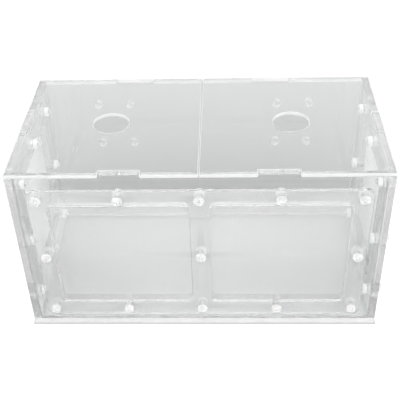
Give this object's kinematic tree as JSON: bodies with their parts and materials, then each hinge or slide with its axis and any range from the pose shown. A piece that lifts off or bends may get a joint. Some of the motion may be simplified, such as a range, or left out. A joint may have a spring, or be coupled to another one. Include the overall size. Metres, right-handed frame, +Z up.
{
  "type": "fish breeding box",
  "caption": "Clear rectangular fish breeding box with lift-off half lids, finger holes, and netted windows in its front and sides under screwed clamp frames.",
  "frame": {"origin": "middle of the base panel's underside", "axes": "+Z up, +X along the box from the left wall to the right wall, -Y out of the front window wall"},
  "size_m": [0.2098, 0.1049, 0.108],
  "materials": {
    "clear_sheet": "clear cast acrylic, polished faces, laser-cut edges",
    "clear_lid": "clear cast acrylic, polished faces, laser-cut edges",
    "clear_frame": "clear cast acrylic, polished faces, laser-cut edges",
    "net": "fine white nylon monofilament net",
    "clear_fastener": "clear moulded plastic"
  },
  "bodies": {
    "box": {"base_panel": "clear_sheet", "front_panel": "clear_sheet", "back_panel": "clear_sheet", "left_panel": "clear_sheet", "right_panel": "clear_sheet", "front_frame": "clear_frame", "left_frame": "clear_frame", "right_frame": "clear_frame", "front_net": "net", "left_net": "net", "right_net": "net", "front_screws_top": "clear_fastener", "front_screws_middle": "clear_fastener", "front_screws_bottom": "clear_fastener", "left_screws": "clear_fastener", "right_screws": "clear_fastener", "front_nuts_top": "clear_fastener", "front_nuts_middle": "clear_fastener", "front_nuts_bottom": "clear_fastener", "left_nuts": "clear_fastener", "right_nuts": "clear_fastener"},
    "left_lid": {"left_lid": "clear_lid"},
    "right_lid": {"right_lid": "clear_lid"}
  },
  "joints": [
    {"name": "left_lid_lift", "type": "slide", "parent": "box", "child": "left_lid", "axis": [0, 0, 1], "range_m": [0, 0.05]},
    {"name": "right_lid_lift", "type": "slide", "parent": "box", "child": "right_lid", "axis": [0, 0, 1], "range_m": [0, 0.05]}
  ]
}
